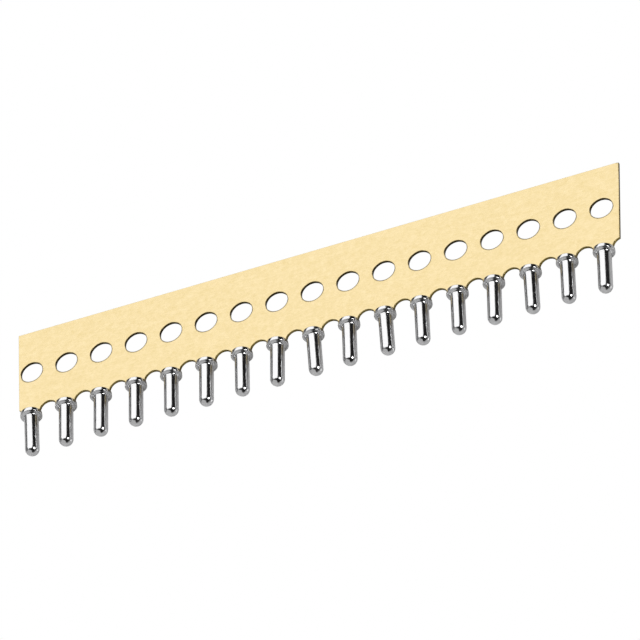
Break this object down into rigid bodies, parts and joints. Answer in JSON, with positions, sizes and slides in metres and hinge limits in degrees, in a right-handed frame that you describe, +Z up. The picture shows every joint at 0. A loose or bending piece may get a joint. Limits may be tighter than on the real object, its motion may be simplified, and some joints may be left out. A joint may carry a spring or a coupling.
{
  "type": "row of turned socket contacts on a carrier strip",
  "caption": "Thin brass carrier strip with index holes and a scalloped edge, holding a row of bright turned socket contacts with round collars and domed tails.",
  "frame": {"origin": "middle of the part's box, at the surface it lies on", "axes": "+X along the row from the contact by the short end to the one by the long end, +Y from the contacts to the strip's straight edge, +Z up, as the row lies on its collars and its straight edge"},
  "size_m": [0.043, 0.0104, 0.0015],
  "materials": {
    "carrier_brass": "rolled sheet, pale and bright with a faint grain, dark at the punched edges",
    "tinned_brass": "bright plated, mirror-like turned surface",
    "gilt_spring": "thin gold plating over spring alloy"
  },
  "bodies": {
    "root": {"carrier_strip": "carrier_brass", "contact_sleeve_01": "tinned_brass", "contact_sleeve_02": "tinned_brass", "contact_sleeve_03": "tinned_brass", "contact_sleeve_04": "tinned_brass", "contact_sleeve_05": "tinned_brass", "contact_sleeve_06": "tinned_brass", "contact_sleeve_07": "tinned_brass", "contact_sleeve_08": "tinned_brass", "contact_sleeve_09": "tinned_brass", "contact_sleeve_10": "tinned_brass", "contact_sleeve_11": "tinned_brass", "contact_sleeve_12": "tinned_brass", "contact_sleeve_13": "tinned_brass", "contact_sleeve_14": "tinned_brass", "contact_sleeve_15": "tinned_brass", "contact_sleeve_16": "tinned_brass", "contact_sleeve_17": "tinned_brass", "spring_clip_01": "gilt_spring", "spring_clip_02": "gilt_spring", "spring_clip_03": "gilt_spring", "spring_clip_04": "gilt_spring", "spring_clip_05": "gilt_spring", "spring_clip_06": "gilt_spring", "spring_clip_07": "gilt_spring", "spring_clip_08": "gilt_spring", "spring_clip_09": "gilt_spring", "spring_clip_10": "gilt_spring", "spring_clip_11": "gilt_spring", "spring_clip_12": "gilt_spring", "spring_clip_13": "gilt_spring", "spring_clip_14": "gilt_spring", "spring_clip_15": "gilt_spring", "spring_clip_16": "gilt_spring", "spring_clip_17": "gilt_spring"}
  },
  "joints": []
}
